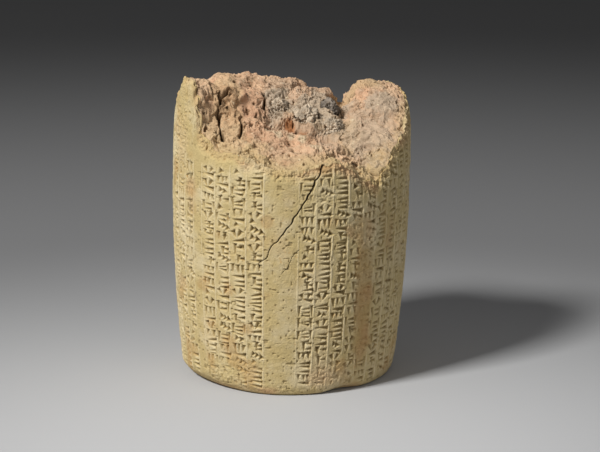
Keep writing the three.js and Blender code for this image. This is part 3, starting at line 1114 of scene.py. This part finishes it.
def clay_material(name, lighter):
    """Fired clay of the break: pink, with cream, grey and rusty marks, small dark specks, and painted
    shade in its pores, chinks and fissures and round its stones.
    """
    colour = toward(tuple(settings().clay_colour), CREAM, lighter)
    stone = tuple(settings().stone_colour)
    shader = Shader(name)
    cream = toward(settings().slip_colour, colour, 0.2)
    surface = shader.mix(shader.patches(0.009, 0.38, 0.66), colour, shade(colour, 1.22))
    surface = shader.mix(shader.patches(0.004, 0.52, 0.72) * 0.5, surface, CLAY_RED)
    surface = shader.mix(shader.field("red") * 0.65, surface, CLAY_RED)
    surface = shader.mix(shader.field("cream") * 0.75, surface, cream)
    surface = shader.mix(shader.field("grey") * 0.85, surface, stone)
    surface = shader.mix(shader.field("stain") * 0.85, surface, RUST)
    surface = shader.mix(shader.field("pale") * 0.7, surface, CREAM)
    surface = shader.mix(shader.patches(0.0016, 0.62, 0.72, 3) * 0.6, surface, shade(CREAM, 1.15))
    surface = shader.mix(shader.patches(0.0012, 0.66, 0.73, 2) * 0.6, surface, BROWN)
    # Painted shade in pores, chinks, fissures and round the stones
    surface = shader.mix(shader.field("recess_shade") * 0.95, surface, shade(BROWN, 0.75))
    roughness = 0.85 + shader.noise(0.003) * 0.12
    height = shader.noise(0.0009, 6, 0.8)
    return shader.finish(surface, roughness, height, 0.0006, 0.15)


def stone_material(name, colour):
    """Rough grey stone with paler grains and brown dirt."""
    shader = Shader(name)
    dark, pale = shade(colour, 0.72), shade(colour, 1.25)
    surface = shader.mix(shader.patches(0.004, 0.4, 0.65), dark, pale)
    surface = shader.mix(shader.patches(0.0012, 0.56, 0.68, 3) * 0.55, surface, shade(colour, 1.7))
    surface = shader.mix(shader.patches(0.0026, 0.56, 0.7) * 0.6, surface, BROWN)
    roughness = 0.8 + shader.noise(0.003) * 0.15
    return shader.finish(surface, roughness, shader.noise(0.0008, 6, 0.75), 0.0003, 0.2)


# Pieces


class CYLINDER_OT_writing_slip(bpy.types.Operator):
    """Build the slip of the side with its signs, ruled lines, crack and worn places"""

    bl_idname = "cylinder.writing_slip"
    bl_label = "Writing Slip"

    EDGE_ROWS = 22
    RIM_ROWS = 10
    INNER_ROWS = 6
    INSET = 0.22
    LEAST_WALL = 0.15  # what a cut always leaves of the slip
    UNEVEN = ((6, 0.1, 2), (1.7, 0.06, 4), (0.75, 0.05, 6))
    CRUMB_RISE = 0.16
    PIT_DEPTH = 0.35
    RIDGE_RISE = 0.55
    LINE_RISE = 0.16
    LINE_PLACES = (4, 3, -0.8, 1)  # spots, given as for the break
    PITS = (1, 7, 0.5, 0.2)
    CRUMBS_EVERYWHERE = 0.25
    WORN_DEPTH = 0.25
    WORN_AWAY = 0.85  # share of a sign's depth that full wear takes
    WORN_RIM = 6  # how far below the rim the side is worn
    RIM_WORN = 0.75
    WORN_SPOTS = (13, 3, 0.4, 0.3)
    SPOTS_WORN = 0.7
    WORN_FOOT = 4.5
    FOOT_SOFTNESS = 3
    WORN_EDGE = 1.6  # where a worn place ends, in its reaches
    WORN_RAGGED = ((3, 0.4, 5),)
    RIM_REACH = 4  # how far below the rim the side is broken away
    RIM_RAGGED = ((6, 3, 4),)
    RIM_FALL = 1.5
    RIM_DEPTH = 0.9
    RIM_CRUMBS = 0.4
    RIM_RED = 0.3
    RED_SPOTS = (8, 6, -0.2, 1)
    CRACK_DEPTH = 1.6
    CRACK_EDGE = 1.3
    CRACK_STRAY = (2.2, 0.55, (2, 3))
    CRACK_CLOSING = 0.75  # how much narrower the far end is
    HAIRLINE_CLOSING = 0.5
    STAINED_PLACE = (39.5, 34, 5, 24)
    STAINED_EDGE = 1.5
    STAINED_SPOTS = (7, 9, 0.35, 0.4)
    RECESS_SHADE_GAIN = 3.4  # how soon a cut gets its painted shade, and a ridge beside it its painted highlight
    RIDGE_HIGHLIGHT_GAIN = 4.6
    # Painted shade in the pits
    PIT_SHADE = 0.6
    LINE_PALENESS = 0.7
    STAIN_SHARE = 0.8
    FOOT_FADE = 2.5
    RIM_PULL = 2.2  # how far below the rim the side follows its crumbled edge

    def out_from(self, azimuth, heights, place):
        """Share of the way out from a place of the side, given as in WORN_PLACES."""
        middle, *rest = place
        return share_out(turn_between(azimuth, middle)[:, None], heights, (0, *rest))

    def wear(self, points, azimuth, heights, below_rim):
        """Share to which each point is worn."""
        worn = smooth(1 - below_rim / self.WORN_RIM) * self.RIM_WORN
        worn = np.maximum(worn, self.SPOTS_WORN * spots(points, *self.WORN_SPOTS))
        worn = np.maximum(worn, smooth((self.WORN_FOOT - heights) / self.FOOT_SOFTNESS))
        ragged = mixed_noise(points, self.WORN_RAGGED)
        for *place, share in WORN_PLACES:
            out = self.out_from(azimuth, heights, place)
            worn = np.maximum(worn, share * smooth(self.WORN_EDGE - out + ragged))
        return worn

    def relief(self, points, azimuth, heights, rim):
        """Depth of the side below the plain barrel, with signs, wear and cracks, and its fields."""
        signs = pressed_signs(len(azimuth))
        below_rim = rim[:, None] - heights
        worn = self.wear(points, azimuth, heights, below_rim)
        left = 1 - self.WORN_AWAY * worn
        depth = signs.sample(signs.depth, heights) * left
        ridge = signs.sample(signs.ridges(), heights) * left
        lines = signs.sample(signs.lines, heights) * (1 - worn) * spots(points, *self.LINE_PLACES)
        small = crumbs(points)
        crumby = self.CRUMB_RISE * (self.CRUMBS_EVERYWHERE + worn) * small
        uneven = mixed_noise(points, self.UNEVEN) + crumby
        pits = self.PIT_DEPTH * spots(points, *self.PITS)
        rim_reach = self.RIM_REACH + mixed_noise(points, self.RIM_RAGGED)
        rim_wear = smooth(1 - below_rim / rim_reach) ** self.RIM_FALL
        total = self.INSET + depth - self.RIDGE_RISE * np.maximum(ridge, 0) - self.LINE_RISE * lines
        total += uneven + pits + self.WORN_DEPTH * worn
        total += rim_wear * (self.RIM_DEPTH + self.RIM_CRUMBS * small)
        crack = self.crack_depth(azimuth, heights, points)
        cut = np.minimum(np.maximum(total, 0) + self.CRACK_DEPTH * crack, SLIP - self.LEAST_WALL)

        full = settings().sign_depth / MM
        stained = self.STAINED_EDGE - self.out_from(azimuth, heights, self.STAINED_PLACE)
        stained = np.maximum(spots(points, *self.STAINED_SPOTS), smooth(stained))
        reddened = worn * spots(points, *self.RED_SPOTS) + self.RIM_RED * rim_wear
        fields = {
            # recess is painted shade in the cuts and pits; edge is painted highlight on the ridges
            # beside the cuts, together with the pale ruled lines
            "recess_shade": np.clip(-self.RECESS_SHADE_GAIN * ridge / full, 0, 1) + self.PIT_SHADE * smooth(pits * 3),
            "edge": np.clip(self.RIDGE_HIGHLIGHT_GAIN * ridge / full + self.LINE_PALENESS * lines, 0, 1),
            "red": np.clip(reddened, 0, 1),
            "stain": self.STAIN_SHARE * stained,
            # crack is painted shade in the crack and its hairline branch
            "crack": smooth(crack * 1.4),
        }
        return cut, fields

    def crack_depth(self, azimuth, heights, points):
        """Share of its full depth to which the side is cracked, 0 away from the crack and its branch."""
        degree = math.radians(1) * BELLY_RADIUS
        turn = turn_between(azimuth, 0)[:, None] * degree
        place = np.stack(np.broadcast_arrays(turn, heights), axis=-1)
        place = place + stray(points, *self.CRACK_STRAY)
        total = np.zeros(heights.shape)
        for course, width, closing in (
            (CRACK_COURSE, CRACK_WIDTH, self.CRACK_CLOSING),
            (HAIRLINE_COURSE, HAIRLINE_WIDTH, self.HAIRLINE_CLOSING),
        ):
            line = [(turn * degree, BREAK_HEIGHT - drop) for turn, drop in course]
            gap, along = course_distance(place, line, width)
            narrower = 1 - closing * along * along
            total = np.maximum(total, smooth(self.CRACK_EDGE - gap / narrower))
        return total

    def row_heights(self, azimuth, rim):
        """Heights of the rows of points, up the rounded lower edge and on to the rim."""
        rounding = edge_rounding(azimuth)
        angle = np.linspace(0, math.pi / 2, self.EDGE_ROWS, endpoint=False)[None, :]
        edge = rounding[:, None] * (1 - np.cos(angle))
        count = round(float((rim - rounding).mean()) / (settings().spacing / MM))
        return np.concatenate([edge, rows_between(rounding, rim, count)], axis=1)

    def kept_in_barrel(self, points):
        """Points drawn in to the plain barrel where they would stand out of it."""
        centre = axis_shift(points[..., 2])
        radius = np.hypot(points[..., 0] - centre, points[..., 1])
        keep = np.minimum(1, barrel_radius(points[..., 2]) / radius)
        drawn_in = (centre + (points[..., 0] - centre) * keep, points[..., 1] * keep, points[..., 2])
        return np.stack(drawn_in, axis=-1)

    def execute(self, context):
        azimuth = column_azimuths()
        angle = np.radians(azimuth)
        inward = np.stack([-np.sin(angle), np.cos(angle), np.zeros_like(angle)], -1)[:, None]
        rim = meet_break(barrel_surface(0), azimuth)
        heights = self.row_heights(azimuth, rim[:, 2])
        outside = upright(barrel_surface(0), azimuth, heights)
        depth, fields = self.relief(outside, azimuth, heights, rim[:, 2])
        depth *= smooth(heights / self.FOOT_FADE)
        outside += inward * depth[..., None]

        base = across_break(rim, meet_break(barrel_surface(SLIP), azimuth), self.RIM_ROWS)
        broken, _ = broken_surface(base)
        crumbled_edge = broken[:, :1] - base[:, :1]
        cut_at_rim = inward * depth[:, -1:, None]
        broken += cut_at_rim * np.linspace(1, 0, self.RIM_ROWS + 1)[None, :, None]
        outside += crumbled_edge * smooth(1 - (rim[:, 2:] - heights) / self.RIM_PULL)[..., None]
        outside = self.kept_in_barrel(outside)

        foot = np.zeros_like(azimuth)
        walls = rows_between(foot, broken[:, -1, 2] - UNDER_BREAK, self.INNER_ROWS)
        inside = upright(barrel_surface(SLIP), azimuth, walls)
        sections = np.concatenate([outside, broken, inside[:, ::-1]], axis=1)
        hidden = np.zeros((len(azimuth), self.INNER_ROWS))
        for key, value in fields.items():
            on_rim = np.full(broken.shape[:2], self.RIM_RED if key == "red" else 0.0)
            fields[key] = np.concatenate([value, on_rim, hidden], axis=1)
        shown = np.arange(heights.shape[1] + self.RIM_ROWS)
        piece = section_mesh("side_slip_with_signs", sections, fields, shown)
        place_piece(piece, "writing_slip", slip_material("slip_of_the_side"))
        return {"FINISHED"}


class CYLINDER_OT_end_slip(bpy.types.Operator):
    """Build the slip of the flat end on which the object stands"""

    bl_idname = "cylinder.end_slip"
    bl_label = "End Slip"

    COLUMNS = 360
    RINGS = 80
    DENT = 0.12
    DENTS = ((5, 0.12, 1), (1.6, 0.08, 2))
    EDGE_SHARE = 8  # one over the share of the radius over which the dents fade out

    def execute(self, context):
        azimuth = np.arange(self.COLUMNS) * 360 / self.COLUMNS
        surface = barrel_surface(SLIP + SEAM)
        edge = surface(azimuth, np.zeros_like(azimuth))
        top_edge = surface(azimuth, np.full_like(azimuth, END_SLIP))
        middle = np.array([axis_shift(0), 0, 0])
        share = np.linspace(0, 1, self.RINGS)[None, :, None]
        under = middle + (edge[:, None] - middle) * share
        dents = np.maximum(self.DENT + mixed_noise(under, self.DENTS), 0)
        under[..., 2] = dents * smooth((1 - share[..., 0]) * self.EDGE_SHARE)
        top_middle = np.broadcast_to(middle + [0, 0, END_SLIP], top_edge.shape)
        over = np.stack([top_edge, top_middle], axis=1)
        sections = np.concatenate([under, over], axis=1)[:, ::-1]
        fields = {key: np.zeros(sections.shape[:2]) for key in SLIP_FIELDS}
        shown = np.arange(over.shape[1], sections.shape[1])
        piece = section_mesh("end_slip_disc", sections, fields, shown, poles=True)
        place_piece(piece, "end_slip", slip_material("slip_of_the_end"))
        return {"FINISHED"}


class CYLINDER_OT_clay_layers(bpy.types.Operator):
    """Build the two layers of clay with their broken ends"""

    bl_idname = "cylinder.clay_layers"
    bl_label = "Clay Layers"

    def execute(self, context):
        outer = clay_layer("outer_clay_broken", barrel_surface(SLIP), inner_layer_surface, OUTER_LAYER)
        place_piece(outer, "outer_clay_layer", clay_material("outer_clay", 0.12))
        inner = clay_layer("inner_clay_broken", inner_layer_surface, core_surface, CORE_TIP[2])
        place_piece(inner, "inner_clay_layer", clay_material("inner_clay", 0.06))
        return {"FINISHED"}


class CYLINDER_OT_core(bpy.types.Operator):
    """Build the cone of coarse clay in the middle, with sockets for its stones"""

    bl_idname = "cylinder.core"
    bl_label = "Core"

    STEPS = 85
    LEAST_GREY = 0.35

    def execute(self, context):
        azimuth = column_azimuths()
        edge = meet_break(core_surface, azimuth)
        tip = np.array([*CORE_TIP[:2], height_over(*CORE_TIP[:2])])
        base = across_break(edge, np.broadcast_to(tip, edge.shape), self.STEPS)
        broken, fields = broken_surface(base)
        foot = np.full_like(azimuth, CLAY_FOOT)
        heights = rows_between(foot, broken[:, 0, 2] - UNDER_BREAK, WALL_ROWS)
        wall = upright(core_surface, azimuth, heights)
        start = np.broadcast_to([*core_centre(CLAY_FOOT), CLAY_FOOT], (len(azimuth), 1, 3))
        sections = np.concatenate([start, wall, broken], axis=1)
        hidden = np.zeros((len(azimuth), WALL_ROWS + 1))
        fields = {key: np.concatenate([hidden, value], axis=1) for key, value in fields.items()}
        fields["grey"] = np.maximum(fields["grey"], self.LEAST_GREY)
        shown = np.arange(WALL_ROWS + 1, sections.shape[1])
        piece = section_mesh("core_broken", sections, fields, shown, poles=True)
        place_piece(piece, "core_cone", clay_material("core_clay", 0))
        return {"FINISHED"}


class CYLINDER_OT_stones(bpy.types.Operator):
    """Build the stones of the break and finish the hidden ones"""

    bl_idname = "cylinder.stones"
    bl_label = "Stones"

    DETAIL = 6
    SKIN_SPACING = 2.4
    SKIN_RISE = 0.7
    CRUMB_RISE = 0.8
    WORN_IN = 0.1

    def stone(self, name, middle, half, seed):
        """A lumpy stone with a rough skin."""
        bpy.ops.mesh.primitive_ico_sphere_add(subdivisions=self.DETAIL, radius=1)
        piece = bpy.context.active_object
        piece.name = name + "_rough"
        mesh = piece.data
        ball = np.empty(len(mesh.vertices) * 3, np.float32)
        mesh.vertices.foreach_get("co", ball)
        ball = ball.reshape(-1, 3).astype(float)
        lumps = ball * STONE_LUMPS
        uneven = 1 + STONE_UNEVEN * unevenness(lumps[:, 0] + seed, lumps[:, 1], lumps[:, 2])
        points = ball * half * uneven[:, None]
        skin = self.SKIN_RISE * noise(points, self.SKIN_SPACING, seed)
        rough = skin + self.CRUMB_RISE * crumbs(points) - self.WORN_IN
        points += ball * rough[:, None]
        mesh.vertices.foreach_set("co", ((points + middle) * MM).astype(np.float32).ravel())
        mesh.shade_smooth()
        mesh.uv_layers[0].name = "OFBake"
        mesh.update()
        return piece

    def execute(self, context):
        values = settings()
        finishes = {
            "grey_stone": stone_material("grey_stone", tuple(values.stone_colour)),
            "dark_stone": stone_material("dark_stone", tuple(values.dark_stone_colour)),
        }
        for name, slot, middle, half, seed in stone_places():
            place_piece(self.stone(name, middle, half, seed), name, finishes[slot])
        for name in HIDDEN_STONES:
            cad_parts[name].material_slots[0].material = finishes["grey_stone"]
        return {"FINISHED"}


# Stage


class CYLINDER_OT_stage(bpy.types.Operator):
    """Set up the camera, the floor and the soft studio lights"""

    bl_idname = "cylinder.stage"
    bl_label = "Stage"

    PHOTO_WIDTH = 600
    TARGET = Vector((0, 0, 0.054))
    DISTANCE = 0.95
    ELEVATION = math.radians(14)
    VIEW_WIDTH = 0.2298  # what the frame spans at the target
    TARGET_SHIFT = (8.5, 3.7)  # pixels that the target lies left of and below the photo's centre
    FLOOR_SIZE = 12
    # Painted pool of light on the floor: its middle, the distances over which it first falls to a darker
    # shade and then to the distant colour, and that darker shade
    LIGHT_POOL_MIDDLE = (0, -0.12, 0)
    FIRST_FADE = (0.03, 0.34)
    FIRST_SHADE = 0.38
    SECOND_FADE = (0.25, 0.95)
    KEY_PLACE = (-1.1, -0.95, 1.5)
    KEY_SIZE = 0.4
    FILL_PLACE = (0.9, -0.9, 0.45)
    FILL_SIZE = 0.9
    AMBIENT = (0.2, 0.2, 0.205, 1)

    def camera(self):
        data = bpy.data.cameras.new("photo_camera")
        data.sensor_width = 36
        data.lens = data.sensor_width * self.DISTANCE / self.VIEW_WIDTH
        data.shift_x = self.TARGET_SHIFT[0] / self.PHOTO_WIDTH
        data.shift_y = self.TARGET_SHIFT[1] / self.PHOTO_WIDTH
        away = Vector((0, -math.cos(self.ELEVATION), math.sin(self.ELEVATION)))
        camera = bpy.data.objects.new("photo_camera", data)
        camera.location = self.TARGET + away * self.DISTANCE
        camera.rotation_euler = away.to_track_quat("Z", "Y").to_euler()
        bpy.context.scene.collection.objects.link(camera)
        bpy.context.scene.camera = camera

    def floor(self):
        bpy.ops.mesh.primitive_plane_add(size=self.FLOOR_SIZE)
        floor = bpy.context.active_object
        floor.name = "studio_floor"
        # The floor's colour is a painted pool of light, brightest round a point in front of the object
        # and falling off to dark with distance
        shader = Shader("floor_paper")
        ends = {0: shader.place, 1: self.LIGHT_POOL_MIDDLE}
        away = shader.node("ShaderNodeVectorMath", {"operation": "DISTANCE"}, ends, "Value")
        near, far = tuple(settings().floor_colour), tuple(settings().distant_colour)
        darker = shade(near, self.FIRST_SHADE)
        colour = shader.mix(shader.step(away, *self.FIRST_FADE), near, darker)
        colour = shader.mix(shader.step(away, *self.SECOND_FADE), colour, far)
        floor.data.materials.append(shader.finish(colour, 0.9, shader.noise(0.002), 0.00001, 0))

    def light(self, name, place, power, size):
        data = bpy.data.lights.new(name, "AREA")
        data.energy = power
        data.size = size
        lamp = bpy.data.objects.new(name, data)
        lamp.location = place
        lamp.rotation_euler = (lamp.location - self.TARGET).to_track_quat("Z", "Y").to_euler()
        bpy.context.scene.collection.objects.link(lamp)

    def execute(self, context):
        self.camera()
        self.floor()
        self.light("key_light", self.KEY_PLACE, settings().key_power, self.KEY_SIZE)
        self.light("fill_light", self.FILL_PLACE, settings().fill_power, self.FILL_SIZE)
        world = bpy.data.worlds.new("studio_world")
        world.use_nodes = True
        world.node_tree.nodes["Background"].inputs["Color"].default_value = self.AMBIENT
        bpy.context.scene.world = world
        bpy.context.scene.view_settings.view_transform = "Standard"
        return {"FINISHED"}


class CYLINDER_PT_panel(bpy.types.Panel):
    """Settings and steps of the cylinder"""

    bl_label = "Clay Cylinder"
    bl_idname = "CYLINDER_PT_panel"
    bl_space_type = "VIEW_3D"
    bl_region_type = "UI"
    bl_category = "Cylinder"

    def draw(self, context):
        layout = self.layout
        for name in CylinderSettings.__annotations__:
            layout.prop(context.scene.clay_cylinder, name)
        for step in STEPS:
            layout.operator(step.bl_idname)


STEPS = (
    CYLINDER_OT_stage,
    CYLINDER_OT_writing_slip,
    CYLINDER_OT_end_slip,
    CYLINDER_OT_clay_layers,
    CYLINDER_OT_core,
    CYLINDER_OT_stones,
)
CLASSES = (CylinderSettings, *STEPS, CYLINDER_PT_panel)


def register():
    for cls in CLASSES:
        bpy.utils.register_class(cls)
    bpy.types.Scene.clay_cylinder = PointerProperty(type=CylinderSettings)


def unregister():
    del bpy.types.Scene.clay_cylinder
    for cls in reversed(CLASSES):
        bpy.utils.unregister_class(cls)


def main():
    register()
    bpy.ops.cylinder.stage()
    bpy.ops.cylinder.writing_slip()
    bpy.ops.cylinder.end_slip()
    bpy.ops.cylinder.clay_layers()
    bpy.ops.cylinder.core()
    bpy.ops.cylinder.stones()


if __name__ == "__main__":
    main()
